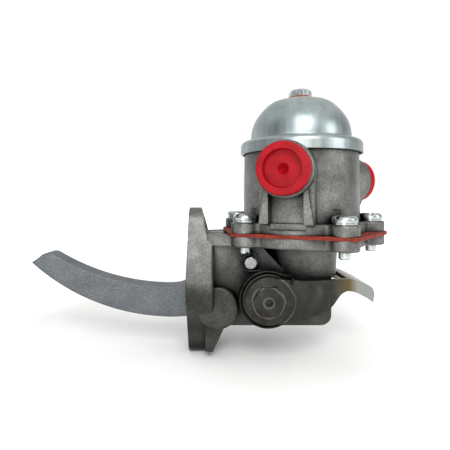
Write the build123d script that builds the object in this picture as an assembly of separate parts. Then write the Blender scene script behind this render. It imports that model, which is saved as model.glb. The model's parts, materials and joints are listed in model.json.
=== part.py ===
from build123d import *
import os
from math import cos, radians, sin

# Mechanical diaphragm fuel lift pump with a hand priming lever, in millimetres.
# The origin is the centre of the mounting flange's face. +X runs from the engine towards
# the pump body, +Z up. Angles around the body axis start at -Y and turn towards +X.

# --- driving dimensions -----------------------------------------------------------------
body_x = 55.0                # body axis, from the flange face
seat_z = 22.8                # top of the lower diaphragm flange
rim_z = 65.3                 # top of the upper casting
membrane_t = 1.5             # diaphragm sheets
upper_flange_t = 4.8
lower_flange_t = 4.8
slip = 0.05                  # radial clearance of running fits and screw threads
part_gap = 0.3               # clearance between loose neighbours

screw_angles = [21.0, 77.0, 158.0, 204.0, 250.0, 300.0]
screw_circle_r = 33.0
screw_r = 2.5
screw_head_h = 2.7
screw_crown_r = 1.8          # rounding of the head's edge
screw_below = 3.4            # how far a screw's end stands out under the lower flange
spring_washer_t = 1.0
waist_r = 31.0               # flange radius between the lobes
membrane_corner_r = 41.0

tower_low_r = 28.2           # upper casting's outside, at its foot and at its rim
tower_top_r = 27.6
chamber_r = 22.4             # strainer chamber
ledge_r = 24.5               # strainer's ledge
ledge_drop = 6.3             # from the rim down to the ledge
pump_chamber_r = 25.0
pump_chamber_h = 8.7
deck_t = 7.0                 # valve deck
post_r = 5.5
post_drop = 1.3              # from the rim down to the post's top
gasket_t = 1.2
strainer_t = 1.6

valve_r = 8.0
valve_pocket_h = 6.0
valve_offset = 14.0
inlet_valve_angle = 235.0
valve_way_r = 5.0
valve_lift = 1.2
riser_r = 7.5
riser_offset = 16.0

port_angles = {"inlet": -22.0, "outlet": 118.0}
port_drop = {"inlet": 13.4, "outlet": 16.3}      # from the rim down to a port's axis
port_face_r = 37.5           # port boss face, from the body axis
port_boss_r = 12.0
port_bore_r = 7.0
port_bore_depth = 10.0
port_way_r = 4.5
pedestal_w = 23.2
pedestal_pocket_w = 14.6
outlet_web_half_w = 9.0

plug_r = 10.9
plug_t = 4.5
plug_spigot_l = 7.0
plug_dish_r = 7.9
plug_dish_depth = 3.0

cover_t = 1.0
cover_h = 22.8               # crown above the casting's rim
cover_lip_drop = 4.1         # the lip's edge, below the rim
cover_ring_r = 29.5
cover_bend_r = 2.6           # outside bend between the ring and the shoulder
cover_wall_r = 24.4
cover_flat_r = 6.6

bolt_r = 3.0                 # cover bolt, M6
bolt_af = 10.0
bolt_head_h = 3.5
bolt_washer_r = 6.15
bolt_washer_t = 1.5
bolt_depth = 12.0            # engagement in the post

flange_h = 70.4              # mounting flange
flange_t = 12.3
flange_ear_t = 5.8
flange_half_w = 23.0
flange_corner_r = 8.0
mount_spacing = 52.0
mount_hole_r = 4.25
nut_seat_x = 7.4             # flat behind the thin ear for the upper nut
nut_room_r = 8.6             # room for a nut and washer behind each hole
nut_room_l = 12.0

box_half_w = 13.5            # mechanism box
box_wall = 3.5
box_past_axis = 12.0         # the box's end, beyond the body axis
box_floor_z = -19.4
box_floor_t = 2.2
box_roof_t = 3.0
mouth_low_z = -22.0          # opening in the mounting flange
mouth_top_z = 13.0
mouth_depth = 10.5

bowl_top_r = 18.0            # spring bowl
bowl_low_r = 17.0
bowl_r = 15.5
bowl_depth = 15.3
dish_depth = 4.4

pivot_x = 14.0               # rocker pivot
pivot_z = -10.0
pivot_pin_r = 3.5
pivot_boss_r = 9.7
pivot_boss_out = 4.2
rocker_t = 9.0
rocker_hub_r = 6.4
rocker_nose_x = 26.0

link_gap = 0.7               # between the rocker's side and a cheek of the link
link_t = 2.0
link_hub_r = 6.0
fork_z = -5.35
fork_t = 2.5
fork_reach = 6.0
fork_gap = 0.6               # each side of the rod

rod_r = 3.0
rod_button_t = 2.4
rod_play = 1.0               # between the fork and the rod's button
rod_head_t = 2.8
rod_nut_t = 3.0
seal_h = 3.0
top_plate_r = 16.0
low_plate_r = 14.5
plate_t = 1.2

shaft_x = 36.2               # priming shaft
shaft_z = -4.4
shaft_r = 4.5
shaft_boss_r = 11.2
shaft_boss_y = 23.5
shaft_neck_r = 3.8           # through the lever's plates
shaft_hex_r = 7.1
shaft_hex_t = 1.6
seal_groove_r = 3.4
seal_w = 2.0
seal_inset = 4.0             # from the boss's end to a seal's middle

lever_inner_y = 24.0         # inside face of the priming lever's arms
lever_t = 2.0
lever_disc_r = 10.3
lever_neck_y = 13.0          # outside of the finger tab
lever_tab_l = 11.0
lever_past_axis = 34.0       # the tab's end, beyond the body axis

peg_r = 2.8
peg_left = 7.5               # from the shaft's axis towards the flange
peg_out = 8.0
wire_r = 0.65                # priming lever's torsion spring

spring_coil_r = 12.0         # diaphragm spring, mean radius
spring_wire_r = 0.9
rocker_spring_x = 5.2
rocker_spring_r = 4.0
rocker_spring_wire_r = 0.6
rocker_seat_z = -0.8

# --- places worked out from them --------------------------------------------------------
screw_head_r = screw_r + 2.8
lobe_r = screw_head_r + 0.9
membrane_top_z = seat_z + membrane_t
upper_flange_z = membrane_top_z + upper_flange_t
lower_flange_z = seat_z - lower_flange_t
screw_seat_z = upper_flange_z + spring_washer_t
screw_end_z = lower_flange_z - screw_below
deck_low_z = membrane_top_z + pump_chamber_h
deck_top_z = deck_low_z + deck_t
ledge_z = rim_z - ledge_drop
post_top_z = rim_z - post_drop
well_wall_r = valve_r + 2.5
well_top_z = ledge_z - 2.0
riser_top_z = ledge_z + strainer_t
cover_top_z = rim_z + cover_h
cover_lip_z = rim_z - cover_lip_drop
port_z = {name: rim_z - drop for name, drop in port_drop.items()}
bowl_floor_z = seat_z - bowl_depth
dish_low_z = seat_z - dish_depth
box_roof_z = bowl_floor_z - 3.5
box_floor_in = box_floor_z + box_floor_t
box_end_x = body_x + box_past_axis
cavity_half_w = box_half_w - box_wall
cavity_roof_z = box_roof_z - box_roof_t
web_foot_x = body_x - 8.0
web_top_x = body_x - 22.0
fork_low_z = fork_z - fork_t / 2
fork_slot_w = 2 * (rod_r + fork_gap)
rod_button_r = rod_r + 2.2
rod_head_r = rod_r + 2.0
button_top_z = fork_low_z - rod_play
rod_end_z = button_top_z - rod_button_t
seal_r = rod_r + 3.0
cheek_y = rocker_t / 2 + link_gap
lever_outer_y = lever_inner_y + lever_t
lever_end_x = body_x + lever_past_axis
lever_neck_x = lever_end_x - lever_tab_l
peg_x = shaft_x - peg_left
peg_z = screw_end_z - peg_r - 2 * part_gap
inlet_valve_xy = (valve_offset, inlet_valve_angle)
outlet_valve_xy = (valve_offset, port_angles["outlet"])


def at(radius, angle, z=0.0):
    """A place given by its distance from the body axis and its angle."""
    a = radians(angle)
    return Pos(body_x + radius * sin(a), -radius * cos(a), z)


def outward(angle, z, radius=0.0):
    """A frame whose Z runs outwards from the body axis, with its X level."""
    a = radians(angle)
    return Plane(
        origin=(body_x + radius * sin(a), -radius * cos(a), z),
        x_dir=(cos(a), sin(a), 0),
        z_dir=(sin(a), -cos(a), 0),
    )


def post(radius, low, high, place=None):
    """An upright cylinder between two heights."""
    body = Cylinder(radius, high - low, align=(Align.CENTER, Align.CENTER, Align.MIN))
    return (place or Pos(body_x, 0, 0)) * Pos(0, 0, low) * body


def tube(outer, inner, low, high, place=None):
    return post(outer, low, high, place) - post(inner, low - 1, high + 1, place)


def barrel(radius, x, z, y0, y1):
    """A cylinder across the pump, along Y."""
    body = Cylinder(radius, y1 - y0, align=(Align.CENTER, Align.CENTER, Align.MIN))
    return Pos(x, y0, z) * Rot(-90, 0, 0) * body


def block(x0, x1, y0, y1, z0, z1):
    return Pos((x0 + x1) / 2, (y0 + y1) / 2, (z0 + z1) / 2) * Box(x1 - x0, y1 - y0, z1 - z0)


def across(profile, y0, y1):
    """Extrude a profile drawn in X and Z from y0 to y1."""
    return Pos(0, y1, 0) * extrude(Plane.XZ * profile, y1 - y0)


def lobed_outline():
    """The diaphragm flanges' outline, one lobe at each screw."""
    outline = Circle(waist_r)
    for angle in screw_angles:
        a = radians(angle)
        outline += Pos(screw_circle_r * sin(a), -screw_circle_r * cos(a)) * Circle(lobe_r)
    return fillet(outline.vertices(), 2.5)


def screw_holes(low, high):
    holes = [post(screw_r + slip, low, high, at(screw_circle_r, a)) for a in screw_angles]
    return Part() + holes


# --- lower casting ----------------------------------------------------------------------
def mounting_flange():
    """The rhombic flange that bolts to the engine, with its thin upper ear."""
    ear_r = (flange_h - mount_spacing) / 2
    ears = Pos(0, mount_spacing / 2) * Circle(ear_r) + Pos(0, -mount_spacing / 2) * Circle(ear_r)
    side = flange_half_w - flange_corner_r
    corners = Pos(side, 0) * Circle(flange_corner_r) + Pos(-side, 0) * Circle(flange_corner_r)
    outline = make_hull((ears + corners).edges())
    plate = extrude(Plane.YZ * outline, flange_t)
    plate = fillet(plate.edges().filter_by(GeomType.LINE, reverse=True).group_by(Axis.X)[-1], 1.5)
    top = flange_h / 2
    ear_back = Polyline(
        (flange_ear_t, top + 1), (flange_t + 1, top + 1), (flange_t + 1, seat_z),
        (flange_ear_t + 3, seat_z), (flange_ear_t, top), (flange_ear_t, top + 1),
    )
    plate -= across(make_face(ear_back), -flange_half_w, flange_half_w)
    foot = Pos(flange_t - 1.5, -top) * Circle(1.8)
    return plate - across(foot, -flange_half_w, flange_half_w)


def mechanism_box():
    """The box under the bowl and the web that ties it to the bridge."""
    outline = Polyline(
        (0, box_floor_z), (box_end_x, box_floor_z), (box_end_x, box_roof_z),
        (web_foot_x, box_roof_z), (web_top_x, lower_flange_z + 1), (0, lower_flange_z + 1),
        (0, box_floor_z),
    )
    face = make_face(outline)
    corners = face.vertices().sort_by_distance((box_end_x, box_floor_z, 0))[:1]
    face = fillet(corners, 5.0)
    box = across(face, -box_half_w, box_half_w)
    sides = box.edges().filter_by(Axis.Y, reverse=True)
    outer = [e for e in sides if e.center().X > flange_t and e.center().Z < box_roof_z]
    return fillet(outer, 1.5)


def gussets():
    """Two webs from the flange's foot to the box floor, with room for a nut between them."""
    foot_z = -flange_h / 2 + 4
    web = Polyline(
        (flange_t - 4, foot_z), (flange_t - 0.5, foot_z), (flange_t + 5.5, box_floor_z + 1),
        (flange_t - 4, box_floor_z + 1), (flange_t - 4, foot_z),
    )
    face = make_face(web)
    inside = nut_room_r + part_gap
    return across(face, -box_half_w, -inside) + across(face, inside, box_half_w)


def bridge():
    """The tapered arm that joins the diaphragm flange to the mounting flange."""
    start = flange_t - 3
    wide_x = body_x - 28
    end = body_x - 20
    plan = Polyline(
        (start, -box_half_w), (wide_x, -box_half_w - 5.5), (end, -box_half_w - 5.5),
        (end, box_half_w + 5.5), (wide_x, box_half_w + 5.5), (start, box_half_w),
        (start, -box_half_w),
    )
    return Pos(0, 0, lower_flange_z) * extrude(make_face(plan), lower_flange_t)


def lower_housing():
    flange = extrude(lobed_outline(), lower_flange_t)
    body = Pos(body_x, 0, lower_flange_z) * fillet(flange.edges().group_by(Axis.Z)[0], 0.8)
    body += bridge() + mounting_flange() + mechanism_box() + gussets()
    bowl_h = lower_flange_z + 1 - box_roof_z + 1
    bowl = Cone(bowl_low_r, bowl_top_r, bowl_h, align=(Align.CENTER, Align.CENTER, Align.MIN))
    body += Pos(body_x, 0, box_roof_z - 1) * bowl
    body += barrel(shaft_boss_r, shaft_x, shaft_z, -shaft_boss_y, shaft_boss_y)
    boss_y = box_half_w + pivot_boss_out
    pivot_boss = barrel(pivot_boss_r, pivot_x, pivot_z, -boss_y, boss_y)
    body += fillet(pivot_boss.edges().filter_by(GeomType.CIRCLE), 1.2)
    peg_pad = barrel(peg_r + 1.6, peg_x, peg_z, -box_half_w - 1.2, -box_half_w + 1)
    body += peg_pad
    dish_h = seat_z - dish_low_z
    dish = Cone(bowl_r + 1.5, pump_chamber_r, dish_h, align=(Align.CENTER, Align.CENTER, Align.MIN))
    body -= Pos(body_x, 0, dish_low_z) * dish
    body -= post(bowl_r, bowl_floor_z, seat_z + 1)
    body -= post(rod_r + slip, cavity_roof_z - 1, bowl_floor_z + 1)
    body -= block(
        mouth_depth - 1, box_end_x - box_wall, -cavity_half_w, cavity_half_w,
        box_floor_in, cavity_roof_z,
    )
    body -= block(-1, mouth_depth, -cavity_half_w, cavity_half_w, mouth_low_z, mouth_top_z)
    body -= block(
        mouth_depth - 1, web_top_x - 12, -cavity_half_w, cavity_half_w,
        cavity_roof_z - 1, mouth_top_z,
    )
    body -= barrel(shaft_r + slip, shaft_x, shaft_z, -shaft_boss_y - 1, shaft_boss_y + 1)
    pin_end_y = boss_y - 1.6
    body -= barrel(pivot_pin_r + slip, pivot_x, pivot_z, -pin_end_y, boss_y + 1)
    body -= barrel(peg_r + slip, peg_x, peg_z, -box_half_w - 2, -box_half_w + 5.5)
    body -= screw_holes(screw_end_z - 0.5, seat_z + 1)
    low = (Align.CENTER, Align.CENTER, Align.MIN)
    for side, seat_x in ((1, nut_seat_x), (-1, flange_t)):
        axis = Pos(0, 0, side * mount_spacing / 2) * Rot(0, 90, 0)
        body -= axis * Pos(0, 0, -1) * Cylinder(mount_hole_r, flange_t + 1, align=low)
        body -= axis * Pos(0, 0, seat_x) * Cylinder(nut_room_r, nut_room_l, align=low)
    return body


# --- upper casting ----------------------------------------------------------------------
def pedestal():
    """The upright block under the inlet boss, with its pocket and rib feet."""
    angle = port_angles["inlet"]
    reach = port_face_r - 2.5
    height = port_z["inlet"] - upper_flange_z
    block_ = Box(pedestal_w, height, reach - 20, align=(Align.CENTER, Align.MAX, Align.MIN))
    pocket_top = height - 9
    pocket = Box(
        pedestal_pocket_w, pocket_top, 12, align=(Align.CENTER, Align.MAX, Align.MIN)
    )
    frame = outward(angle, port_z["inlet"])
    turned = frame * Rot(0, 0, 180)
    solid = turned * Pos(0, height, 20) * block_
    rib_cut = Polyline((0, 0), (6, 0), (6, -pocket_top - 4), (2.6, -pocket_top - 4), (0, 0))
    cut_face = make_face(rib_cut)
    for side in (0, 1):
        face = mirror(cut_face, Plane.YZ) if side else cut_face
        x = -pedestal_w / 2 if side else pedestal_w / 2
        start = outward(angle, upper_flange_z + pocket_top + 4, reach + 1)
        solid -= start * Pos(x - (2.8 if side == 0 else -2.8), 0, 0) * extrude(face, -2.4)
    solid -= outward(angle, upper_flange_z + pocket_top, tower_low_r + 0.6) * pocket
    return solid


def outlet_web():
    """The web under the outlet boss, from the tower's foot to the boss."""
    angle = port_angles["outlet"]
    top = port_z["outlet"] - upper_flange_z - 7
    side = Polyline((20, 0.5), (tower_low_r + 1, 0.5), (port_face_r - 1.5, top), (20, top), (20, 0.5))
    a = radians(angle)
    plane = Plane(
        origin=(body_x, 0, upper_flange_z),
        x_dir=(sin(a), -cos(a), 0),
        z_dir=(-cos(a), -sin(a), 0),
    )
    return extrude(plane * make_face(side), outlet_web_half_w, both=True)


def upper_housing():
    flange = extrude(lobed_outline(), upper_flange_t)
    flange = fillet(flange.edges().group_by(Axis.Z)[-1], 1.0)
    body = Pos(body_x, 0, membrane_top_z) * flange
    height = rim_z - membrane_top_z - 1
    cone = Cone(tower_low_r, tower_top_r, height, align=(Align.CENTER, Align.CENTER, Align.MIN))
    body += Pos(body_x, 0, membrane_top_z + 1) * cone
    body += pedestal() + outlet_web()
    for name, angle in port_angles.items():
        boss = Cylinder(port_boss_r, port_face_r - 18, align=(Align.CENTER, Align.CENTER, Align.MIN))
        boss = chamfer(boss.edges().group_by(Axis.Z)[-1], 0.6)
        body += outward(angle, port_z[name], 18) * boss
    body -= tube(cover_ring_r + part_gap, tower_top_r, cover_lip_z - part_gap, rim_z + 5)
    body -= post(ledge_r, ledge_z, rim_z + 5)
    core = post(chamber_r, deck_top_z, ledge_z + 1)
    outlet = at(*outlet_valve_xy)
    riser = at(riser_offset, port_angles["inlet"])
    core -= post(well_wall_r, deck_top_z - 1, well_top_z, outlet)
    core -= post(riser_r, deck_top_z - 1, ledge_z + 1, riser)
    core -= post(post_r, deck_top_z - 1, ledge_z + 1)
    body -= core
    body += post(post_r, ledge_z - 1, post_top_z)
    body += post(riser_r, ledge_z - 1, riser_top_z, riser) & post(chamber_r, ledge_z - 1, rim_z)
    body -= post(bolt_r + slip, post_top_z - bolt_depth - 2, post_top_z + 1)
    body -= post(pump_chamber_r, membrane_top_z - 1, deck_low_z)
    body -= post(port_way_r, port_z["inlet"], riser_top_z + 1, riser)
    body -= post(valve_r - 1, deck_low_z + valve_pocket_h, well_top_z - 3, outlet)
    for place in (at(*inlet_valve_xy), outlet):
        body -= post(valve_r, deck_low_z - 1, deck_low_z + valve_pocket_h, place)
    body -= post(valve_way_r, deck_low_z, deck_top_z + 1, at(*inlet_valve_xy))
    reach = {"inlet": riser_offset, "outlet": valve_offset}
    for name, angle in port_angles.items():
        way = Cylinder(port_way_r, 40, align=(Align.CENTER, Align.CENTER, Align.MIN))
        body -= outward(angle, port_z[name], reach[name]) * way
        bore = Cylinder(port_bore_r, port_bore_depth + 1, align=(Align.CENTER, Align.CENTER, Align.MIN))
        body -= outward(angle, port_z[name], port_face_r - port_bore_depth) * bore
    notch = Box(pedestal_pocket_w + 1, 3.2, 4)
    body -= outward(port_angles["inlet"], upper_flange_z - 1.2, waist_r + 0.6) * notch
    for angle in screw_angles:
        spot = post(screw_head_r + part_gap, upper_flange_z, upper_flange_z + 6, Pos(0, 0, 0))
        body -= at(screw_circle_r, angle) * spot
    return body - screw_holes(membrane_top_z - 1, upper_flange_z + 1)


# --- cover, strainer and their fixings --------------------------------------------------
def dome_outline(inset):
    """The dome's wall and crown, moved in by the sheet's thickness."""
    wall = cover_wall_r - inset
    top = cover_top_z - inset
    return [
        (wall, rim_z + gasket_t + cover_t + 1.2),
        (wall - 1.9 + 0.1 * inset, rim_z + 12.2 - 0.3 * inset),
        (wall - 7.0 + 0.35 * inset, rim_z + 18.9 - 0.65 * inset),
        (cover_flat_r, top),
    ]


def dome_curve(inset):
    points = dome_outline(inset)
    return Spline(*points, tangents=[(-0.01, 1), (-1, 0.06)])


def top_cover():
    """The pressed dome: a lip round the casting, a shoulder on the gasket and the crown."""
    shoulder_z = rim_z + gasket_t
    ring_in = cover_ring_r - cover_t
    outer = dome_curve(0)
    inner = dome_curve(cover_t)
    bend = cover_bend_r
    top_z = shoulder_z + cover_t
    rim = [
        Line(inner @ 0, (cover_wall_r - cover_t, shoulder_z)),
        Line((cover_wall_r - cover_t, shoulder_z), (ring_in - bend + cover_t, shoulder_z)),
        ThreePointArc(
            (ring_in - bend + cover_t, shoulder_z),
            (ring_in - 0.47, shoulder_z - 0.47),
            (ring_in, shoulder_z - bend + cover_t),
        ),
        Line((ring_in, shoulder_z - bend + cover_t), (ring_in, cover_lip_z)),
        Line((ring_in, cover_lip_z), (cover_ring_r, cover_lip_z)),
        Line((cover_ring_r, cover_lip_z), (cover_ring_r, top_z - bend)),
        ThreePointArc(
            (cover_ring_r, top_z - bend),
            (cover_ring_r - 0.293 * bend, top_z - 0.293 * bend),
            (cover_ring_r - bend, top_z),
        ),
        Line((cover_ring_r - bend, top_z), (cover_wall_r + 0.9, top_z)),
        ThreePointArc(
            (cover_wall_r + 0.9, top_z), (cover_wall_r + 0.26, top_z + 0.3), outer @ 0
        ),
        outer,
        Line(outer @ 1, (bolt_r + 0.2, cover_top_z)),
        Line((bolt_r + 0.2, cover_top_z), (bolt_r + 0.2, cover_top_z - cover_t)),
        Line((bolt_r + 0.2, cover_top_z - cover_t), inner @ 1),
        inner,
    ]
    section = Plane.XZ * make_face(Curve() + rim)
    return Pos(body_x, 0, 0) * revolve(section, Axis.Z)


def cover_gasket():
    return tube(cover_ring_r - cover_bend_r, ledge_r, rim_z, rim_z + gasket_t)


def cover_bolt():
    low = cover_top_z + bolt_washer_t
    head = extrude(RegularPolygon(bolt_af / 2, 6, major_radius=False), bolt_head_h)
    crown = Cone(bolt_af / 2 + 2.6, bolt_af / 2 - 0.4, 3.0, align=(Align.CENTER, Align.CENTER, Align.MAX))
    cap = Cylinder(bolt_af, 20, align=(Align.CENTER, Align.CENTER, Align.MAX))
    head &= Pos(0, 0, bolt_head_h) * crown + Pos(0, 0, bolt_head_h - 3.0) * cap
    bolt = Pos(body_x, 0, low) * Rot(0, 0, 33) * head
    return bolt + post(bolt_r, post_top_z - bolt_depth, low + 0.5)


def bolt_washer():
    return tube(bolt_washer_r, bolt_r + slip, cover_top_z, cover_top_z + bolt_washer_t)


def strainer_rim():
    """Moulded rim, hub and riser collar that carry the gauze."""
    riser = at(riser_offset, port_angles["inlet"])
    top = riser_top_z
    rim = tube(ledge_r - 0.2, chamber_r - 0.6, ledge_z, top)
    rim += tube(post_r + 2.0, post_r + 0.2, ledge_z, top)
    collar = tube(riser_r + 1.4, riser_r + 0.2, ledge_z, top, riser)
    rim += collar & post(ledge_r - 0.2, ledge_z, top)
    rim -= post(riser_r + 0.2, ledge_z - 1, top + 1, riser)
    rim -= strainer_gauze()
    return rim


def strainer_gauze():
    riser = at(riser_offset, port_angles["inlet"])
    low = ledge_z + 0.5
    gauze = tube(chamber_r, post_r + 1.2, low, low + 0.5)
    return gauze - post(riser_r + 0.8, low - 1, low + 2, riser)


def flange_screw():
    low = screw_end_z
    shank = post(screw_r, low, screw_seat_z + 0.5, Pos(0, 0, 0))
    shank = chamfer(shank.edges().group_by(Axis.Z)[0], 0.5)
    head = post(screw_head_r, screw_seat_z, screw_seat_z + screw_head_h, Pos(0, 0, 0))
    head = fillet(head.edges().group_by(Axis.Z)[-1], screw_crown_r)
    slot = Pos(0, 0, screw_seat_z + screw_head_h) * Box(3 * screw_head_r, 1.4, 2.4)
    return shank + head - slot


def spring_washer():
    """Split washer under a flange screw."""
    ring = tube(
        screw_head_r - 0.3, screw_r + 0.1, upper_flange_z, upper_flange_z + spring_washer_t,
        Pos(0, 0, 0),
    )
    split = Pos(0, screw_head_r - 1, upper_flange_z) * Rot(0, 0, 25) * Box(0.9, 6, 4)
    return ring - split


# --- diaphragm stack --------------------------------------------------------------------
def diaphragm():
    corners = []
    for angle in screw_angles:
        a = radians(angle)
        corners.append((membrane_corner_r * sin(a), -membrane_corner_r * cos(a)))
    sheet = make_face(Polyline(*corners, close=True))
    sheet = fillet(sheet.vertices(), 4.0)
    sheet += Circle(waist_r)
    sheet -= Circle(rod_r + slip)
    body = Pos(body_x, 0, seat_z) * extrude(sheet, membrane_t)
    return body - screw_holes(seat_z - 1, membrane_top_z + 1)


def top_plate():
    low = membrane_top_z
    plate = tube(top_plate_r, rod_r + slip, low, low + plate_t)
    return fillet(plate.edges().group_by(Axis.Z)[-1].sort_by(SortBy.LENGTH)[-1], 0.8)


def low_plate():
    plate = tube(low_plate_r, rod_r + slip, seat_z - plate_t, seat_z)
    return fillet(plate.edges().group_by(Axis.Z)[0].sort_by(SortBy.LENGTH)[-1], 0.8)


def pull_rod():
    head_z = membrane_top_z + plate_t
    rod = post(rod_r, rod_end_z, head_z + 0.5)
    rod += fillet(post(rod_head_r, head_z, head_z + rod_head_t).edges().group_by(Axis.Z)[-1], 1.2)
    rod += post(rod_button_r, rod_end_z, button_top_z)
    return rod


def rod_nut():
    high = seat_z - plate_t
    nut = extrude(RegularPolygon(rod_head_r, 6, major_radius=False), rod_nut_t)
    nut = Pos(body_x, 0, high - rod_nut_t) * nut
    return nut - post(rod_r + slip, high - 4, high + 1)


def rod_seal():
    return tube(seal_r, rod_r + slip, bowl_floor_z, bowl_floor_z + seal_h)


def seal_retainer():
    """Pressed cup that holds the rod seal and seats the spring."""
    top = bowl_floor_z + seal_h
    inner = seal_r + 0.2
    outer = inner + 1.0
    cup = tube(bowl_r - 0.4, inner, bowl_floor_z, bowl_floor_z + plate_t)
    cup += tube(outer, inner, bowl_floor_z, top + 1.0)
    return cup + tube(outer, rod_r + 1.0, top, top + 1.0)


def diaphragm_spring():
    outer = spring_coil_r + spring_wire_r
    inner = spring_coil_r - spring_wire_r
    return tube(outer, inner, bowl_floor_z + plate_t, seat_z - plate_t)


# --- rocker and link --------------------------------------------------------------------
def rocker_profile():
    """Side view of the cam-driven arm, drawn from its pivot: tip, arm, spring seat, nose."""
    seat = rocker_seat_z - pivot_z
    nose = rocker_nose_x - pivot_x
    upper = ThreePointArc((-80.8, 22.6), (-52.0, 10.4), (-26.0, 6.7))
    lower = ThreePointArc((-90.7, 18.4), (-61.0, -0.2), (-20.0, -8.0))
    outline = Curve() + [
        upper,
        Spline(upper @ 1, (-19.0, 7.2), (-13.0, seat), tangents=[(1, 0), (1, 0.25)]),
        Line((-13.0, seat), (-3.4, seat)),
        Line((-3.4, seat), (nose - 6, 4.2)),
        Line((nose - 6, 4.2), (nose, 4.2)),
        Line((nose, 4.2), (nose, -0.2)),
        Line((nose, -0.2), (0, -0.2)),
        Line((0, -0.2), (0, -rocker_hub_r)),
        Line((0, -rocker_hub_r), lower @ 1),
        lower,
        Line(lower @ 0, (-86.6, 21.4)),
        ThreePointArc((-86.6, 21.4), (-83.8, 23.0), upper @ 0),
    ]
    return Pos(pivot_x, pivot_z) * (make_face(outline) + Circle(rocker_hub_r))


def rocker_arm():
    arm = across(rocker_profile(), -rocker_t / 2, rocker_t / 2)
    return arm - barrel(pivot_pin_r + slip, pivot_x, pivot_z, -rocker_t, rocker_t)


def rocker_spring():
    place = Pos(rocker_spring_x, 0, 0)
    outer = rocker_spring_r + rocker_spring_wire_r
    inner = rocker_spring_r - rocker_spring_wire_r
    return tube(outer, inner, rocker_seat_z, mouth_top_z, place)


def link_lever():
    """Two cheeks beside the rocker, a push bar under its nose and the fork round the rod."""
    arm_top = shaft_z - 2.8
    arm_low = pivot_z - 1.4
    fork_top = fork_z + fork_t / 2
    rise_x = shaft_x + shaft_r + 2.5
    end_x = body_x + fork_reach
    side = Polyline(
        (pivot_x, arm_top), (rise_x, arm_top), (rise_x + 4, fork_top), (end_x, fork_top),
        (end_x, fork_low_z), (rise_x + 4, fork_low_z), (rise_x, arm_low), (pivot_x, arm_low),
        (pivot_x, arm_top),
    )
    profile = make_face(side) + Pos(pivot_x, pivot_z) * Circle(link_hub_r)
    outer = cheek_y + link_t
    link = across(profile, cheek_y, outer) + across(profile, -outer, -cheek_y)
    link += block(rise_x + 4, end_x, -outer, outer, fork_low_z, fork_top)
    slot_x = body_x - rod_r - 2 * fork_gap
    link -= block(slot_x, end_x + 1, -fork_slot_w / 2, fork_slot_w / 2, fork_low_z - 1, fork_top + 1)
    bar_top = pivot_z - 0.2 - part_gap
    link += block(rocker_nose_x - 4, rocker_nose_x, -outer, outer, bar_top - 2.2, bar_top)
    return link - barrel(pivot_pin_r + slip, pivot_x, pivot_z, -outer - 1, outer + 1)


def pivot_pin():
    reach = box_half_w + pivot_boss_out - 1.6
    return barrel(pivot_pin_r, pivot_x, pivot_z, -reach, reach)


def pivot_plug():
    reach = box_half_w + pivot_boss_out
    return barrel(pivot_pin_r, pivot_x, pivot_z, reach - 1.6, reach)


# --- hand priming -----------------------------------------------------------------------
def priming_shaft():
    """Half-round in the middle, sealed in the bosses, hexagonal heads outside the lever."""
    shaft = barrel(shaft_r, shaft_x, shaft_z, -lever_inner_y, lever_inner_y)
    half = cavity_half_w - 1
    shaft -= block(shaft_x - 6, shaft_x + 6, -half, half, shaft_z - 6, shaft_z)
    hexagon = RegularPolygon(shaft_hex_r, 6)
    head = Pos(shaft_x, shaft_z) * hexagon
    for side in (-1, 1):
        low, high = sorted((side * (lever_inner_y - 1), side * (lever_outer_y + 1)))
        shaft += barrel(shaft_neck_r, shaft_x, shaft_z, low, high)
        low, high = sorted((side * lever_outer_y, side * (lever_outer_y + shaft_hex_t)))
        shaft += across(head, low, high)
        tip = side * (lever_outer_y + shaft_hex_t)
        low, high = sorted((tip, tip - side * 1.4))
        shaft -= barrel(1.5, shaft_x, shaft_z, low, high)
        seal_y = side * (shaft_boss_y - seal_inset)
        ring = barrel(shaft_r + 1, shaft_x, shaft_z, seal_y - seal_w / 2, seal_y + seal_w / 2)
        ring -= barrel(seal_groove_r, shaft_x, shaft_z, seal_y - seal_w, seal_y + seal_w)
        shaft -= ring
    return shaft


def shaft_seal(side):
    y = side * (shaft_boss_y - seal_inset)
    ring = barrel(shaft_r, shaft_x, shaft_z, y - seal_w / 2, y + seal_w / 2)
    return ring - barrel(seal_groove_r, shaft_x, shaft_z, y - seal_w, y + seal_w)


def lever_side():
    """Side view of the priming lever: disc, arm and the curved finger tab."""
    end = lever_end_x - shaft_x
    top = Spline((end - 15.0, 7.1), (end - 5.5, 4.0), (end - 0.4, -1.6), tangents=[(1, -0.1), (0.1, -1)])
    under = Spline((end - 1.4, -5.2), (end - 7.8, -1.0), (end - 15.6, 1.5), tangents=[(-0.7, 0.7), (-1, 0)])
    belly = Spline(under @ 1, (end - 23.4, -4.0), (end - 30.0, -6.4), tangents=[(-1, -0.1), (-1, -0.2)])
    outline = Curve() + [
        Line((2.6, 9.7), top @ 0),
        top,
        Line(top @ 1, under @ 0),
        under,
        belly,
        Line(belly @ 1, (2.0, -10.0)),
        Line((2.0, -10.0), (2.6, 9.7)),
    ]
    return Pos(shaft_x, shaft_z) * (make_face(outline) + Circle(lever_disc_r))


def lever_plan(inset):
    """Plan view of the stirrup, moved in by the sheet's thickness."""
    wide = lever_outer_y - inset
    neck = lever_neck_y - inset
    bend_x = lever_end_x - 37
    back = shaft_x - 20
    end = lever_end_x + 1 - inset * 3
    points = [
        (back, -wide), (bend_x, -wide), (lever_neck_x - 4, -neck - 1.5), (lever_neck_x + 2, -neck),
        (end, -neck), (end, neck), (lever_neck_x + 2, neck), (lever_neck_x - 4, neck + 1.5),
        (bend_x, wide), (back, wide),
    ]
    face = make_face(Polyline(*points, close=True))
    bends = [v for v in face.vertices() if abs(v.X - bend_x) < 0.1]
    return fillet(bends, 12.0)


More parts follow.
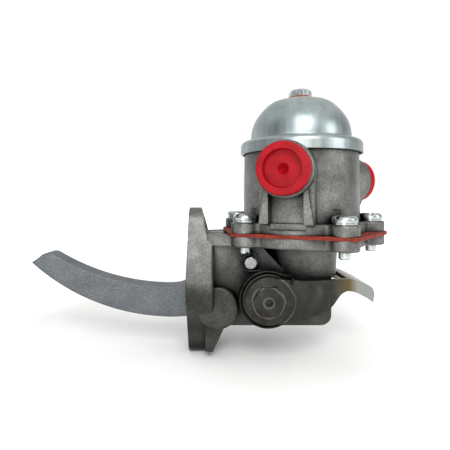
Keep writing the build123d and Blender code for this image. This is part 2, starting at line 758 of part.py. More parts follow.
def priming_lever():
    """A stirrup of sheet steel: an arm on each side of the pump and a finger tab."""
    side = across(lever_side(), -lever_outer_y - 1, lever_outer_y + 1)
    depth = 60
    outer = Pos(0, 0, -depth / 2) * extrude(lever_plan(0), depth)
    inner = Pos(0, 0, -depth / 2) * extrude(lever_plan(lever_t), depth)
    arms = side & (outer - inner)
    lowered = Pos(0, 0, -lever_t) * side
    sheet = (side - lowered) & outer
    sheet &= block(lever_neck_x - 4, lever_end_x + 2, -lever_neck_y - 3, lever_neck_y + 3, -15, 10)
    lever = arms + sheet
    corner_z = (-12, 6)
    for y in (-1, 1):
        tip = Polyline(
            (lever_end_x + 2, y * (lever_neck_y + 2)), (lever_end_x - 6, y * (lever_neck_y + 2)),
            (lever_end_x - 6, y * lever_neck_y), (lever_end_x + 0.4, y * (lever_neck_y - 5)),
            (lever_end_x + 2, y * (lever_neck_y - 5)), (lever_end_x + 2, y * (lever_neck_y + 2)),
        )
        cut = extrude(make_face(tip), corner_z[1] - corner_z[0])
        lever -= Pos(0, 0, corner_z[0]) * cut
    hole = barrel(shaft_neck_r + slip, shaft_x, shaft_z, -lever_outer_y - 2, lever_outer_y + 2)
    return lever - hole


def spring_peg():
    low = -box_half_w - peg_out
    peg = barrel(peg_r, peg_x, peg_z, low, -box_half_w + 5)
    return fillet(peg.edges().group_by(Axis.Y)[0], 0.6)


def priming_spring():
    """Torsion spring round the near boss, shown as its band of turns and its two legs."""
    y0 = -shaft_boss_y + 0.4
    y1 = y0 + 4 * wire_r
    outer = shaft_boss_r + part_gap + 2 * wire_r
    band = barrel(outer, shaft_x, shaft_z, y0, y1)
    band -= barrel(shaft_boss_r + part_gap, shaft_x, shaft_z, y0 - 1, y1 + 1)
    mid = (y0 + y1) / 2
    hook_r = peg_r + part_gap
    hook = barrel(hook_r + 2 * wire_r, peg_x, peg_z, mid - wire_r, mid + wire_r)
    hook -= barrel(hook_r, peg_x, peg_z, mid - 3, mid + 3)
    hook -= block(peg_x, peg_x + 9, mid - 3, mid + 3, peg_z - 9, peg_z + 9)
    leg_x = peg_x - hook_r - 2 * wire_r
    leg = block(leg_x, leg_x + 2 * wire_r, mid - wire_r, mid + wire_r, shaft_z, peg_z)
    leg -= barrel(shaft_boss_r + part_gap, shaft_x, shaft_z, y0 - 1, y1 + 1)
    end_x = shaft_x + 8.2
    end_z = shaft_z + 9.4
    end = block(end_x, end_x + 2 * wire_r, mid - wire_r, mid + wire_r, end_z - 1.5, end_z + 2 * wire_r)
    over = block(end_x, end_x + 2 * wire_r, -lever_outer_y - 0.5, mid, end_z, end_z + 2 * wire_r)
    return band + hook + leg + end + over


# --- valves -----------------------------------------------------------------------------
def valve_parts(inverted, place):
    """Seat, disc, spring and cage of one valve, stacked down from the seat."""
    top = valve_pocket_h
    seat = tube(valve_r - slip, 4.0, top - 1.5, top, Pos(0, 0, 0))
    disc = post(valve_r - 2.4, top - 2.4, top - 1.5, Pos(0, 0, 0))
    spring = tube(2.6, 2.0, 1.0, top - 2.4, Pos(0, 0, 0))
    cage = tube(valve_r - slip, valve_r - 1.2, 0, top - 1.5, Pos(0, 0, 0))
    floor = post(valve_r - 1.2 + slip, 0, 1.0, Pos(0, 0, 0))
    for k in range(4):
        floor -= post(1.4, -1, 2, Rot(0, 0, 90 * k + 45) * Pos(4.4, 0, 0))
    parts = {"seat": seat, "disc": disc, "spring": spring, "cage": cage + floor}
    if inverted:
        parts = {k: Pos(0, 0, valve_pocket_h) * Rot(180, 0, 0) * v for k, v in parts.items()}
    return {k: place * Pos(0, 0, deck_low_z) * v for k, v in parts.items()}


# --- transit plugs ----------------------------------------------------------------------
def port_plug(name):
    """Moulded plug: dished head with a centre dimple, and a spigot in the port."""
    head = Cylinder(plug_r, plug_t, align=(Align.CENTER, Align.CENTER, Align.MIN))
    head = fillet(head.edges().group_by(Axis.Z)[-1], 0.9)
    dish = Cone(plug_dish_r - 0.4, plug_dish_r, plug_dish_depth, align=(Align.CENTER, Align.CENTER, Align.MAX))
    head -= Pos(0, 0, plug_t) * dish
    spigot = Cylinder(port_bore_r - 0.2, plug_spigot_l, align=(Align.CENTER, Align.CENTER, Align.MAX))
    plug = head + spigot
    dimple = Cone(0.3, 2.4, 2.6, align=(Align.CENTER, Align.CENTER, Align.MAX))
    plug -= Pos(0, 0, plug_t - plug_dish_depth) * dimple
    core = Cylinder(4.6, plug_spigot_l - 3, align=(Align.CENTER, Align.CENTER, Align.MIN))
    plug -= Pos(0, 0, -plug_spigot_l) * core
    return outward(port_angles[name], port_z[name], port_face_r) * plug


def all_parts():
    parts = {
        "lower_housing": lower_housing(),
        "upper_housing": upper_housing(),
        "top_cover": top_cover(),
        "cover_gasket": cover_gasket(),
        "cover_bolt": cover_bolt(),
        "cover_bolt_washer": bolt_washer(),
        "strainer_rim": strainer_rim(),
        "strainer_gauze": strainer_gauze(),
        "diaphragm": diaphragm(),
        "diaphragm_top_plate": top_plate(),
        "diaphragm_low_plate": low_plate(),
        "pull_rod": pull_rod(),
        "rod_nut": rod_nut(),
        "rod_seal": rod_seal(),
        "seal_retainer": seal_retainer(),
        "diaphragm_spring": diaphragm_spring(),
        "rocker_arm": rocker_arm(),
        "rocker_spring": rocker_spring(),
        "link_lever": link_lever(),
        "pivot_pin": pivot_pin(),
        "pivot_plug": pivot_plug(),
        "priming_shaft": priming_shaft(),
        "priming_lever": priming_lever(),
        "priming_spring": priming_spring(),
        "spring_peg": spring_peg(),
        "shaft_seal_near": shaft_seal(-1),
        "shaft_seal_far": shaft_seal(1),
    }
    for number, angle in enumerate(screw_angles, start=1):
        turn = Rot(0, 0, 37 * number)
        parts[f"flange_screw_{number}"] = at(screw_circle_r, angle) * turn * flange_screw()
        parts[f"spring_washer_{number}"] = at(screw_circle_r, angle) * turn * spring_washer()
    for name, place, inverted in (
        ("inlet", at(*inlet_valve_xy), False),
        ("outlet", at(*outlet_valve_xy), True),
    ):
        for kind, solid in valve_parts(inverted, place).items():
            parts[f"{name}_valve_{kind}"] = solid
        parts[f"{name}_plug"] = port_plug(name)
    return parts


os.makedirs("parts", exist_ok=True)
for node, solid in all_parts().items():
    export_step(solid, f"parts/{node}.step")
    print(node, round(solid.volume, 1))
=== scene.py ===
# %% [markdown]
# # A diaphragm fuel lift pump in plain studio light
#
# The machine is already modelled to size: two aluminium castings, a pressed steel cover, a long
# rocker arm, a hand lever and all that is inside. Here it gets its finishes, its wire springs and
# the light and camera that show it. Everything is in metres, in the machine's own frame: X runs
# from the engine to the pump, Z is up, and the camera looks along Y.

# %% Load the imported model
import json
import math

import bpy
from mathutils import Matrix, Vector


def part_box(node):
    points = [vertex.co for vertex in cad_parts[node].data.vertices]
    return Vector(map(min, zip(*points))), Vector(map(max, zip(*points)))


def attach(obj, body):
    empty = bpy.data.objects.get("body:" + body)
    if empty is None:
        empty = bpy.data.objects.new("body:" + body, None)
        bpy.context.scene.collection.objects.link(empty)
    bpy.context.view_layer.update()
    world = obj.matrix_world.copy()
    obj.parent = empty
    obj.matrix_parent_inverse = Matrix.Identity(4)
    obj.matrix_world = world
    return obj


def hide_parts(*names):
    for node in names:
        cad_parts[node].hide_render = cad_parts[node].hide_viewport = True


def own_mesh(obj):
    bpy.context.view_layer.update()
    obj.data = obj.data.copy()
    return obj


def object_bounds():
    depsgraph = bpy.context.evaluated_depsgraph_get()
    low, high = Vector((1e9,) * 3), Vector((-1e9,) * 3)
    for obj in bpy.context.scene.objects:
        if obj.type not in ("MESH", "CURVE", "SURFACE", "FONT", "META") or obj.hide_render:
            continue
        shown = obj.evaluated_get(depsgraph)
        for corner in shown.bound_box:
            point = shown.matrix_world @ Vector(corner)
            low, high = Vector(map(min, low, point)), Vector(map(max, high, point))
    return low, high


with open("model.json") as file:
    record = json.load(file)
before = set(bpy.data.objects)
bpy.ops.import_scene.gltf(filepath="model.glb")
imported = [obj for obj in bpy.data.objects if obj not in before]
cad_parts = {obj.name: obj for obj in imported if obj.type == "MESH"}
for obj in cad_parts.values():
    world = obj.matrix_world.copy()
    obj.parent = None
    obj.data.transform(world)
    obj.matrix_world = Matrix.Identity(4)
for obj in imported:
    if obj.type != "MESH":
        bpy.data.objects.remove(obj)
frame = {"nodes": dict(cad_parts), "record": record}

MM = 0.001
nodes = frame["nodes"]
cad_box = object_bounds()
bpy.ops.object.select_all(action="DESELECT")
low, high = cad_box


def middle(node):
    """The middle of a node's box."""
    a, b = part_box(node)
    return (Vector(a) + Vector(b)) / 2


shaft = middle("priming_shaft")
print("pieces", len(nodes), "size in mm", [round((b - a) / MM, 1) for a, b in zip(low, high)])
print("priming shaft at", [round(v / MM, 1) for v in shaft])

# %% [markdown]
# ## Camera
#
# A close product shot: the camera stands about 18 cm in front of the pump's middle plane, level,
# a little above the mounting flange. A wide lens this close makes the near port look large, and
# that closeness is what gives the view its depth. The frame is moved down with lens shift
# instead of tilting the camera, so that upright edges stay upright.

# %% Camera
along, distance, height = 16, 180, 41.5
camera_data = bpy.data.cameras.new("camera")
camera = bpy.data.objects.new("camera", camera_data)
bpy.context.scene.collection.objects.link(camera)
camera.location = (along * MM, -distance * MM, height * MM)
camera.rotation_euler = (math.radians(90), 0, 0)
camera_data.sensor_width = 36
camera_data.lens = 28.8
camera_data.shift_x = 0.0067
camera_data.shift_y = -0.0676
camera_data.clip_start = 0.01
bpy.context.scene.camera = camera
print("camera at", [round(v / MM) for v in camera.location], "lens", camera_data.lens)

# %% [markdown]
# ## Colours and nodes
#
# Colours are written as sRGB hex values, as a colour picker shows them, and turned to linear
# light once. One function adds a node, sets it up and links it.

# %% Colour and node helpers
def srgb(text):
    """A hex colour such as 8f8c86, as linear red, green, blue and alpha."""
    parts = [int(text[k:k + 2], 16) / 255 for k in (0, 2, 4)]
    linear = [c / 12.92 if c <= 0.04045 else ((c + 0.055) / 1.055) ** 2.4 for c in parts]
    return (*linear, 1.0)


def add(tree, kind, inputs=None, stops=None, **settings):
    """Add a node, set it up, set or link its inputs, and place a ramp's (position, hex) stops."""
    node = tree.nodes.new("ShaderNode" + kind)
    for name, value in settings.items():
        setattr(node, name, value)
    for name, value in (inputs or {}).items():
        if isinstance(value, bpy.types.NodeSocket):
            tree.links.new(value, node.inputs[name])
        else:
            node.inputs[name].default_value = value
    for number, (place, colour) in enumerate(stops or []):
        elements = node.color_ramp.elements
        element = elements[number] if number < len(elements) else elements.new(place)
        element.position = place
        element.color = srgb(colour)
    return node


def finish(name):
    """A new material, its node tree, its shader and its Object coordinates in metres."""
    material = bpy.data.materials.new(name)
    material.use_nodes = True
    tree = material.node_tree
    shader = tree.nodes["Principled BSDF"]
    coords = add(tree, "TexCoord").outputs["Object"]
    return material, tree, shader, coords


def per_mm(size):
    """Noise scale that makes one feature about size millimetres across."""
    return 1 / (size * MM)


print("mid grey", [round(c, 3) for c in srgb("808080")])

# %% [markdown]
# ## Room and lamps
#
# Bare metal shows whatever is around it, so the room matters as much as the lamps. The room is
# white behind the pump and overhead, like a light tent, and grey behind the camera. Faces turned
# to the camera then look darker than the backdrop, and the dome keeps a clear outline. A large
# soft box high in front draws the highlight on the dome, one on the left lights the flange's
# rounded edge, and a weak one on the right keeps that side readable.

# %% Room and soft boxes
def lamp(name, size, power, place, target):
    """A square soft box at place, turned to face target, both in millimetres."""
    data = bpy.data.lights.new(name, "AREA")
    data.size = size * MM
    data.energy = power
    box = bpy.data.objects.new(name, data)
    bpy.context.scene.collection.objects.link(box)
    box.location = Vector(place) * MM
    aim = (Vector(target) - Vector(place)).to_track_quat("-Z", "Y")
    box.rotation_euler = aim.to_euler()
    return box


world = bpy.data.worlds.new("light tent")
world.use_nodes = True
tree = world.node_tree
way = add(tree, "SeparateXYZ", {"Vector": add(tree, "TexCoord").outputs["Generated"]})
depth = add(tree, "MapRange", {"Value": way.outputs["Y"], "From Min": -1.0, "From Max": 1.0})
back = add(
    tree, "ValToRGB", {"Fac": depth.outputs[0]},
    stops=[(0.05, "7c7c7c"), (0.6, "a8a8a8"), (0.8, "ffffff")],
)
above = add(tree, "ValToRGB", {"Fac": way.outputs["Z"]}, stops=[(0.12, "000000"), (0.8, "ffffff")])
tent = add(
    tree, "Mix", {"Factor": 1.0, "A": back.outputs["Color"], "B": above.outputs["Color"]},
    data_type="RGBA", blend_type="LIGHTEN",
)
tree.links.new(tent.outputs["Result"], tree.nodes["Background"].inputs["Color"])
tree.nodes["Background"].inputs["Strength"].default_value = 1.0
bpy.context.scene.world = world
bpy.context.scene.view_settings.view_transform = "Standard"

centre = (50, 0, 30)
lamp("front box", 200, 1.5, (40, -400, 300), centre)
lamp("left box", 110, 0.45, (-120, -420, 70), centre)
lamp("right box", 140, 0.4, (360, -200, 160), centre)

# %% [markdown]
# ## Paper sweep
#
# The pump stands on the foot of its flange over a sheet of white paper. Close to the pump the
# paper takes a soft shadow. Further out the paper glows, a painted light: its emission rises with
# distance from the pump until it is pure white, so from the front no horizon shows.

# %% Paper sweep
sweep_size = 8
glow_from, glow_to = 0.10, 0.45
bpy.ops.mesh.primitive_plane_add(size=sweep_size, location=(0, 0, low[2]))
floor = bpy.context.object
floor.name = "floor"
material, tree, shader, coords = finish("white paper sweep")
fibre = add(tree, "TexNoise", {"Vector": coords, "Scale": per_mm(40), "Detail": 3.0})
paper = add(tree, "ValToRGB", {"Fac": fibre.outputs[0]}, stops=[(0.3, "f0f0ef"), (0.7, "f6f6f5")])
away = add(tree, "VectorMath", {0: coords}, operation="LENGTH")
# painted light: the paper's emission grows the further it lies from the pump
paper_glow = add(
    tree, "MapRange",
    {"Value": away.outputs["Value"], "From Min": glow_from, "From Max": glow_to},
)
tree.links.new(paper.outputs["Color"], shader.inputs["Base Color"])
shader.inputs["Roughness"].default_value = 0.9
shader.inputs["Specular IOR Level"].default_value = 0.1
shader.inputs["Emission Color"].default_value = (1, 1, 1, 1)
tree.links.new(paper_glow.outputs[0], shader.inputs["Emission Strength"])
floor.data.materials.append(material)
print("floor at", round(low[2] / MM, 1), "mm")

# %% [markdown]
# ## Die-cast aluminium
#
# The two castings come out of a steel die and are machined only where they seal. The skin is a
# warm grey, mottled where the metal chilled against the die, and rough to the light. Painted shade
# darkens the corners and hollows, found by an Ambient Occlusion node, and painted shade darkens the
# metal below the diaphragm, towards the bottom of the lower casting. The Bevel node softens every
# sharp edge by 0.6 mm without changing the shape.

# %% Die-cast aluminium
def cast_aluminium():
    """Mottled warm grey with painted shade in the hollows: gives the eye the die's chilled skin."""
    material, tree, shader, coords = finish("die-cast aluminium")
    cloud = add(tree, "TexNoise", {"Vector": coords, "Scale": per_mm(9), "Detail": 5.0}).outputs[0]
    grain = add(tree, "TexNoise", {"Vector": coords, "Scale": per_mm(0.8), "Detail": 3.0}).outputs[0]
    tone = add(
        tree, "ValToRGB", {"Fac": cloud}, stops=[(0.3, "5c5c5a"), (0.52, "71716e"), (0.7, "868683")]
    )
    speck = add(tree, "ValToRGB", {"Fac": grain}, stops=[(0.35, "a8a8a8"), (0.62, "ffffff")])
    mixed = add(
        tree, "Mix", {"Factor": 0.6, "A": tone.outputs["Color"], "B": speck.outputs["Color"]},
        data_type="RGBA", blend_type="MULTIPLY",
    )
    # painted shade: corners and hollows are darkened by the Ambient Occlusion node
    hollow = add(tree, "AmbientOcclusion", {"Distance": 9 * MM}, samples=8)
    painted_hollow_shade = add(
        tree, "ValToRGB", {"Fac": hollow.outputs["AO"]}, stops=[(0.25, "2b2926"), (0.9, "ffffff")]
    )
    hollow_shaded = add(
        tree, "Mix", {"Factor": 1.0, "A": mixed.outputs["Result"], "B": painted_hollow_shade.outputs["Color"]},
        data_type="RGBA", blend_type="MULTIPLY",
    )
    height = add(tree, "SeparateXYZ", {"Vector": coords}).outputs["Z"]
    # painted shade: the metal is darkened towards the bottom, below the diaphragm
    shade_full_z, shade_end_z = 4 * MM, 22 * MM
    level = add(tree, "MapRange", {"Value": height, "From Min": shade_full_z, "From Max": shade_end_z})
    painted_low_shade = add(tree, "ValToRGB", {"Fac": level.outputs[0]}, stops=[(0.0, "a8a8a6"), (1.0, "ffffff")])
    colour = add(
        tree, "Mix", {"Factor": 1.0, "A": hollow_shaded.outputs["Result"], "B": painted_low_shade.outputs["Color"]},
        data_type="RGBA", blend_type="MULTIPLY",
    )
    tree.links.new(colour.outputs["Result"], shader.inputs["Base Color"])
    rough = add(tree, "MapRange", {"Value": cloud, "To Min": 0.36, "To Max": 0.52})
    tree.links.new(rough.outputs[0], shader.inputs["Roughness"])
    shader.inputs["Metallic"].default_value = 0.9
    soft = add(tree, "Bevel", {"Radius": 0.6 * MM}, samples=6)
    skin = {"Height": grain, "Strength": 0.3, "Distance": 0.12 * MM, "Normal": soft.outputs["Normal"]}
    tree.links.new(add(tree, "Bump", skin).outputs["Normal"], shader.inputs["Normal"])
    return material


# %% [markdown]
# ## Zinc plated cover
#
# The cover is deep-drawn from sheet steel and zinc plated. Drawing leaves faint vertical streaks,
# so the noise is stretched along Z, and the plating has a bluish grey sheen with a straw tint in
# places.

# %% Zinc plated deep-drawn steel
def zinc_plate():
    """Streaked blue-grey metal: gives the eye the pull of the drawing press."""
    material, tree, shader, coords = finish("zinc plated deep-drawn steel")
    stretch = add(tree, "Mapping", {"Vector": coords, "Scale": (1.0, 1.0, 0.12)}).outputs[0]
    drawn = add(tree, "TexNoise", {"Vector": stretch, "Scale": per_mm(2.5), "Detail": 4.0}).outputs[0]
    cloud = add(tree, "TexNoise", {"Vector": coords, "Scale": per_mm(16), "Detail": 3.0}).outputs[0]
    tone = add(
        tree, "ValToRGB", {"Fac": cloud}, stops=[(0.35, "929d9e"), (0.6, "a6b0b1"), (0.8, "adad9b")]
    )
    streak = add(tree, "ValToRGB", {"Fac": drawn}, stops=[(0.3, "c8c8c8"), (0.65, "ffffff")])
    colour = add(
        tree, "Mix", {"Factor": 0.5, "A": tone.outputs["Color"], "B": streak.outputs["Color"]},
        data_type="RGBA", blend_type="MULTIPLY",
    )
    tree.links.new(colour.outputs["Result"], shader.inputs["Base Color"])
    rough = add(tree, "MapRange", {"Value": drawn, "To Min": 0.33, "To Max": 0.44})
    tree.links.new(rough.outputs[0], shader.inputs["Roughness"])
    shader.inputs["Metallic"].default_value = 1.0
    return material


# %% [markdown]
# ## Bright zinc screws
#
# The flange screws and the cover bolt are bought parts with a bright zinc finish, smoother and
# lighter than the cover. Their edges are rounded a quarter of a millimetre, which gives each head
# its thin bright rim.

# %% Bright zinc
def bright_zinc():
    """Light, smooth plating: gives the eye the glint of new fasteners."""
    material, tree, shader, coords = finish("bright zinc plated steel")
    cloud = add(tree, "TexNoise", {"Vector": coords, "Scale": per_mm(1.5), "Detail": 3.0}).outputs[0]
    tone = add(tree, "ValToRGB", {"Fac": cloud}, stops=[(0.3, "969e9d"), (0.7, "c9cfcf")])
    # painted shade: the hollows are darkened by the Ambient Occlusion node
    hollow = add(tree, "AmbientOcclusion", {"Distance": 3 * MM}, samples=8)
    painted_hollow_shade = add(
        tree, "ValToRGB", {"Fac": hollow.outputs["AO"]}, stops=[(0.3, "3c3c38"), (0.8, "ffffff")]
    )
    colour = add(
        tree, "Mix", {"Factor": 1.0, "A": tone.outputs["Color"], "B": painted_hollow_shade.outputs["Color"]},
        data_type="RGBA", blend_type="MULTIPLY",
    )
    tree.links.new(colour.outputs["Result"], shader.inputs["Base Color"])
    rough = add(tree, "MapRange", {"Value": cloud, "To Min": 0.26, "To Max": 0.36})
    tree.links.new(rough.outputs[0], shader.inputs["Roughness"])
    soft = add(tree, "Bevel", {"Radius": 0.25 * MM}, samples=6)
    tree.links.new(soft.outputs["Normal"], shader.inputs["Normal"])
    shader.inputs["Metallic"].default_value = 1.0
    return material


# %% [markdown]
# ## Red transit plugs
#
# Soft polyethylene, moulded in deep red. It is slightly waxy, so a little light scatters inside
# it, and its highlights are broad.

# %% Red polyethylene
def red_plastic():
    """Deep waxy red: gives the eye a soft moulded plastic."""
    material, tree, shader, coords = finish("red moulded polyethylene")
    cloud = add(tree, "TexNoise", {"Vector": coords, "Scale": per_mm(5), "Detail": 3.0}).outputs[0]
    fine = add(tree, "TexNoise", {"Vector": coords, "Scale": per_mm(0.6), "Detail": 2.0}).outputs[0]
    tone = add(tree, "ValToRGB", {"Fac": cloud}, stops=[(0.3, "82000c"), (0.7, "990714")])
    tree.links.new(tone.outputs["Color"], shader.inputs["Base Color"])
    shader.inputs["Roughness"].default_value = 0.5
    shader.inputs["Specular IOR Level"].default_value = 0.15
    shader.inputs["Subsurface Weight"].default_value = 0.06
    shader.inputs["Subsurface Scale"].default_value = 0.8 * MM
    soft = add(tree, "Bevel", {"Radius": 0.35 * MM}, samples=6)
    skin = {"Height": fine, "Strength": 0.14, "Distance": 0.1 * MM, "Normal": soft.outputs["Normal"]}
    tree.links.new(add(tree, "Bump", skin).outputs["Normal"], shader.inputs["Normal"])
    return material


# %% [markdown]
# ## Diaphragm cloth and fibre washers
#
# The diaphragm is several plies of rubberised cloth. Its cut edge shows them as thin lines, so
# one noise is squeezed along Z into layers a third of a millimetre thick. The red fibre sealing
# washer under the cover bolt is built up from paper in the same way.

# %% Layered red sheet
def layered_red(name, dark, light, layer):
    """Red sheet whose edge shows its plies, layer millimetres apart."""
    material, tree, shader, coords = finish(name)
    stretch = add(tree, "Mapping", {"Vector": coords, "Scale": (0.08, 0.08, 1.0)}).outputs[0]
    plies = add(tree, "TexNoise", {"Vector": stretch, "Scale": per_mm(layer), "Detail": 3.0}).outputs[0]
    cloud = add(tree, "TexNoise", {"Vector": coords, "Scale": per_mm(2.2), "Detail": 4.0}).outputs[0]
    mixed = add(tree, "Math", {0: plies, 1: cloud}, operation="MULTIPLY").outputs[0]
    tone = add(tree, "ValToRGB", {"Fac": mixed}, stops=[(0.14, dark), (0.36, light)])
    tree.links.new(tone.outputs["Color"], shader.inputs["Base Color"])
    shader.inputs["Roughness"].default_value = 0.75
    shader.inputs["Specular IOR Level"].default_value = 0.25
    bump = add(tree, "Bump", {"Height": plies, "Strength": 0.5, "Distance": 0.2 * MM})
    tree.links.new(bump.outputs["Normal"], shader.inputs["Normal"])
    return material


# %% [markdown]
# ## Rocker arm
#
# The arm is a forging that has been blasted with grit. The blasting leaves an even, matt, bluish
# grey with millimetre-sized mottling and no clear highlight.

# %% Grit-blasted steel
def blasted_steel():
    """Matt mottled blue-grey: gives the eye a blasted forging."""
    material, tree, shader, coords = finish("grit-blasted forged steel")
    grit = add(
        tree, "TexNoise", {"Vector": coords, "Scale": per_mm(0.9), "Detail": 6.0, "Roughness": 0.7}
    ).outputs[0]
    cloud = add(tree, "TexNoise", {"Vector": coords, "Scale": per_mm(9), "Detail": 3.0}).outputs[0]
    tone = add(
        tree, "ValToRGB", {"Fac": grit}, stops=[(0.3, "54585b"), (0.5, "6c7073"), (0.7, "868a8d")]
    )
    wash = add(tree, "ValToRGB", {"Fac": cloud}, stops=[(0.3, "c4c7ca"), (0.7, "ffffff")])
    colour = add(
        tree, "Mix", {"Factor": 0.7, "A": tone.outputs["Color"], "B": wash.outputs["Color"]},
        data_type="RGBA", blend_type="MULTIPLY",
    )
    tree.links.new(colour.outputs["Result"], shader.inputs["Base Color"])
    shader.inputs["Metallic"].default_value = 0.8
    shader.inputs["Roughness"].default_value = 0.55
    soft = add(tree, "Bevel", {"Radius": 0.9 * MM}, samples=6)
    skin = {"Height": grit, "Strength": 0.4, "Distance": 0.15 * MM, "Normal": soft.outputs["Normal"]}
    tree.links.new(add(tree, "Bump", skin).outputs["Normal"], shader.inputs["Normal"])
    return material


# %% [markdown]
# ## Priming lever and shaft
#
# The stirrup and its shaft are dark passivated steel, nearly black in the shade. Towards the tab
# end the colour turns straw and then pale: the pale end is painted light, standing in for the tab's
# upturned face catching the top light. Thin rubbed arcs run round the shaft, where a spanner has turned.

# %% Dark passivated steel
def dark_steel():
    """Near-black sheet that turns straw and then pale at the tab end, the pale a painted light."""
    material, tree, shader, coords = finish("dark passivated sheet steel")
    cloud = add(tree, "TexNoise", {"Vector": coords, "Scale": per_mm(6), "Detail": 5.0}).outputs[0]
    fine = add(tree, "TexNoise", {"Vector": coords, "Scale": per_mm(0.8), "Detail": 3.0}).outputs[0]
    tone = add(
        tree, "ValToRGB", {"Fac": cloud}, stops=[(0.3, "2a2926"), (0.55, "373632"), (0.75, "46453e")]
    )
    along = add(tree, "SeparateXYZ", {"Vector": coords}).outputs["X"]
    straw_from, straw_to = 66 * MM, 76 * MM
    tab_light_from, tab_light_to = 75 * MM, 79 * MM
    arcs_end, arcs_full = 50 * MM, 44 * MM
    straw = add(
        tree, "MapRange",
        {"Value": along, "From Min": straw_from, "From Max": straw_to, "To Max": 0.7},
    )
    tint = add(
        tree, "Mix", {"Factor": straw.outputs[0], "A": tone.outputs["Color"], "B": srgb("6a5f3c")},
        data_type="RGBA",
    )
    # painted light: the tab end is painted pale, standing in for its upturned face catching the top light
    tab_light = add(tree, "MapRange", {"Value": along, "From Min": tab_light_from, "From Max": tab_light_to})
    colour = add(
        tree, "Mix", {"Factor": tab_light.outputs[0], "A": tint.outputs["Result"], "B": srgb("868a86")},
        data_type="RGBA",
    )
    centred = add(
        tree, "Mapping", {"Vector": coords, "Location": (-shaft.x, 0, -shaft.z)}
    ).outputs[0]
    rings = add(
        tree, "TexWave", {"Vector": centred, "Scale": per_mm(14), "Distortion": 3.0, "Detail": 3.0},
        wave_type="RINGS", rings_direction="Y",
    )
    near = add(
        tree, "MapRange",
        {"Value": along, "From Min": arcs_end, "From Max": arcs_full, "To Max": 0.5},
    )
    arcs = add(tree, "ValToRGB", {"Fac": rings.outputs["Fac"]}, stops=[(0.86, "000000"), (1.0, "6c6b64")])
    scuffed = add(
        tree, "Mix", {"Factor": near.outputs[0], "A": colour.outputs["Result"], "B": arcs.outputs["Color"]},
        data_type="RGBA", blend_type="LIGHTEN",
    )
    tree.links.new(scuffed.outputs["Result"], shader.inputs["Base Color"])
    shader.inputs["Metallic"].default_value = 0.95
    rough = add(tree, "MapRange", {"Value": fine, "To Min": 0.28, "To Max": 0.42})
    tree.links.new(rough.outputs[0], shader.inputs["Roughness"])
    soft = add(tree, "Bevel", {"Radius": 0.35 * MM}, samples=6)
    tree.links.new(soft.outputs["Normal"], shader.inputs["Normal"])
    return material


# %% [markdown]
# ## Quiet finishes
#
# What is mostly inside gets a quiet finish: spring steel, turned steel, rubber, brass and
# jointing. Each is two close tones over a fine grain, so that nothing is one flat colour.

# %% Springs, turned steel, rubber, brass and jointing
def quiet(name, dark, light, metallic, roughness, feature):
    """Two tones and a fine grain, with features about feature millimetres across."""
    material, tree, shader, coords = finish(name)
    cloud = add(tree, "TexNoise", {"Vector": coords, "Scale": per_mm(feature), "Detail": 4.0}).outputs[0]
    tone = add(tree, "ValToRGB", {"Fac": cloud}, stops=[(0.3, dark), (0.7, light)])
    tree.links.new(tone.outputs["Color"], shader.inputs["Base Color"])
    shader.inputs["Metallic"].default_value = metallic
    shader.inputs["Roughness"].default_value = roughness
    bump = add(tree, "Bump", {"Height": cloud, "Strength": 0.15, "Distance": 0.1 * MM})
    tree.links.new(bump.outputs["Normal"], shader.inputs["Normal"])
    return material


finishes = {
    "cast_aluminium": cast_aluminium(),
    "zinc_plate": zinc_plate(),
    "bright_zinc": bright_zinc(),
    "plug_red": red_plastic(),
    "diaphragm_red": layered_red("rubberised diaphragm cloth", "561912", "87301f", 0.35),
    "fibre_red": layered_red("red vulcanised fibre", "6f2e1f", "a0563f", 0.4),
    "blasted_steel": blasted_steel(),
    "dark_steel": dark_steel(),
    "spring_steel": quiet("black oiled spring steel", "141312", "2c2a28", 0.9, 0.38, 1.5),
    "plain_steel": quiet("turned steel", "6f7274", "989b9d", 1.0, 0.32, 1.2),
    "black_rubber": quiet("black nitrile rubber", "0d0d0d", "1b1b1b", 0.0, 0.6, 1.5),
    "brass": quiet("drawn brass", "a5823c", "c8a860", 1.0, 0.3, 1.5),
    "cork": quiet("black jointing", "1c1a18", "2e2b28", 0.0, 0.8, 1.0),
}
for part in frame["record"]["subparts"]:
    mesh = nodes[part["node"]].data
    mesh.materials.clear()
    mesh.materials.append(finishes[part["material_slot"]])
print("finishes", sorted(finishes))

# %% [markdown]
# ## Coil springs
#
# The model keeps each spring as a plain tube of the right size. Here each becomes a real wire
# coil: a small circle, swept round the spring's axis by a Screw modifier, with its two ends
# closed.

# %% Coil springs
wire_sides = 10
steps_per_turn = 32
weld = 0.01 * MM


def settle(piece, name):
    """Apply the piece's place and turn its faces outwards."""
    bpy.ops.object.select_all(action="DESELECT")
    piece.select_set(True)
    bpy.context.view_layer.objects.active = piece
    bpy.ops.object.transform_apply(location=True, rotation=True, scale=True)
    bpy.ops.object.mode_set(mode="EDIT")
    bpy.ops.mesh.select_all(action="SELECT")
    bpy.ops.mesh.normals_make_consistent(inside=False)
    bpy.ops.object.mode_set(mode="OBJECT")
    bpy.ops.object.shade_smooth_by_angle(angle=math.radians(40))
    piece.name = name
    piece.data.materials.clear()
    piece.data.materials.append(finishes["spring_steel"])
    return piece


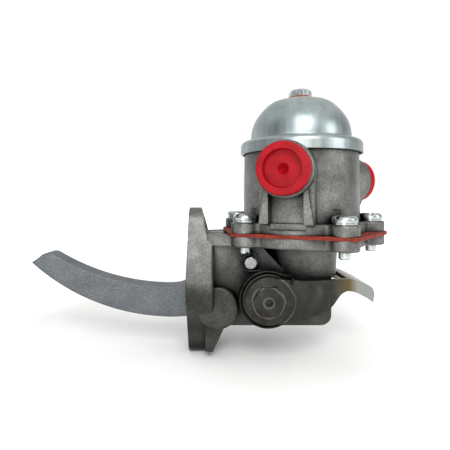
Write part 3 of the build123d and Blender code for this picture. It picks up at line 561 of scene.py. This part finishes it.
def coil(node, wire, turns):
    """A coil of wire (radius in mm) that fills the box of a CAD spring."""
    a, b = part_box(node)
    radius = (b[0] - a[0]) / 2 - wire * MM
    bottom = a[2] + wire * MM
    bpy.ops.object.select_all(action="DESELECT")
    bpy.ops.mesh.primitive_circle_add(
        vertices=wire_sides, radius=wire * MM, location=(radius, 0, bottom),
        rotation=(math.pi / 2, 0, 0),
    )
    piece = bpy.context.object
    bpy.ops.object.transform_apply(location=True, rotation=True, scale=True)
    sweep = piece.modifiers.new("sweep", "SCREW")
    sweep.steps = steps_per_turn
    sweep.iterations = turns
    sweep.screw_offset = (b[2] - a[2] - 2 * wire * MM) / turns
    bpy.ops.object.modifier_apply(modifier="sweep")
    bpy.ops.object.mode_set(mode="EDIT")
    bpy.ops.mesh.select_all(action="SELECT")
    bpy.ops.mesh.remove_doubles(threshold=weld)
    bpy.ops.mesh.fill_holes(sides=0)
    bpy.ops.object.mode_set(mode="OBJECT")
    piece.location = ((a[0] + b[0]) / 2, (a[1] + b[1]) / 2, 0)
    return settle(piece, node + "_coil")


# the spring's node, wire radius in mm, turns, joint, travel in mm, and whether its top stays put
for node, wire, turns, joint, travel, from_top in (
    ("diaphragm_spring", 0.9, 5, "diaphragm_slide", 5.2, False),
    ("rocker_spring", 0.6, 7, "rocker_hinge", 1.1, True),
    ("inlet_valve_spring", 0.2, 4, "inlet_valve_slide", 1.2, False),
    ("outlet_valve_spring", 0.2, 4, "outlet_valve_slide", 1.2, True),
):
    piece = coil(node, wire, turns)
    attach(piece, "housing")
    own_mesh(piece)
    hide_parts(node)

# %% [markdown]
# ## Torsion spring of the priming lever
#
# One wire wound three times round the near boss pushes the lever back up. One end hooks under
# and round the peg and stays with the housing. The other end leaves the outer turn in a straight
# line and hooks over the lever's top edge, so it turns with the lever. The turns are rings, and
# the straight runs are thin cylinders whose ends sit in small balls, which round the bends.

# %% Torsion spring
peg = Vector((28.7, 0, 11.2)) * MM
wire = 0.65 * MM
turn_count = 3
turn_r = 12.15 * MM
hook_r = 3.75 * MM
outer_y = -22.45 * MM
inner_y = outer_y + (turn_count - 1) * 2 * wire
leave = math.radians(14.6)
lever_top = Vector((46.0, -26.9, 5.55)) * MM
bend_z = 5.6 * MM
tip_z = 3.6 * MM


def ring(centre, radius, y):
    """One closed turn of wire, round centre and at y."""
    bpy.ops.mesh.primitive_torus_add(
        location=(centre.x, y, centre.z), rotation=(math.pi / 2, 0, 0), major_radius=radius,
        minor_radius=wire, major_segments=72, minor_segments=10,
    )
    return bpy.context.object


def run(start, end):
    """A straight length of wire with rounded ends."""
    middle = (start + end) / 2
    turn = (end - start).to_track_quat("Z", "Y").to_euler()
    length = (end - start).length
    bpy.ops.mesh.primitive_cylinder_add(
        vertices=12, radius=wire, depth=length, location=middle, rotation=turn
    )
    pieces = [bpy.context.object]
    for place in (start, end):
        bpy.ops.mesh.primitive_uv_sphere_add(segments=12, ring_count=8, radius=wire, location=place)
        pieces.append(bpy.context.object)
    return pieces


def join(pieces, name):
    """Make several pieces of wire one object."""
    bpy.ops.object.select_all(action="DESELECT")
    for piece in pieces:
        piece.select_set(True)
    bpy.context.view_layer.objects.active = pieces[0]
    bpy.ops.object.join()
    return settle(bpy.context.object, name)


bpy.ops.object.select_all(action="DESELECT")
hook = ring(peg, hook_r, inner_y)
bpy.ops.object.transform_apply(location=True, rotation=True, scale=True)
bpy.ops.object.mode_set(mode="EDIT")
bpy.ops.mesh.select_all(action="SELECT")
bpy.ops.mesh.bisect(plane_co=tuple(peg), plane_no=(1, 0, 0), use_fill=True, clear_outer=True)
bpy.ops.object.mode_set(mode="OBJECT")
turns = [ring(shaft, turn_r, outer_y + k * 2 * wire) for k in range(turn_count)]
peg_low = Vector((peg.x, inner_y, peg.z - hook_r))
coil_top = Vector((shaft.x, inner_y, shaft.z + turn_r))
fixed = join([hook] + turns + run(peg_low, coil_top), "priming_spring_turns")
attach(fixed, "housing")
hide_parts("priming_spring")

start = Vector((shaft.x + turn_r * math.sin(leave), outer_y, shaft.z + turn_r * math.cos(leave)))
corner = Vector((lever_top.x, outer_y, bend_z))
tip = Vector((lever_top.x, lever_top.y, tip_z))
strand = run(start, corner) + run(corner, lever_top) + run(lever_top, tip)
moving = join(strand, "priming_spring_end")
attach(moving, "primer")
print("torsion spring faces", len(fixed.data.polygons), len(moving.data.polygons))
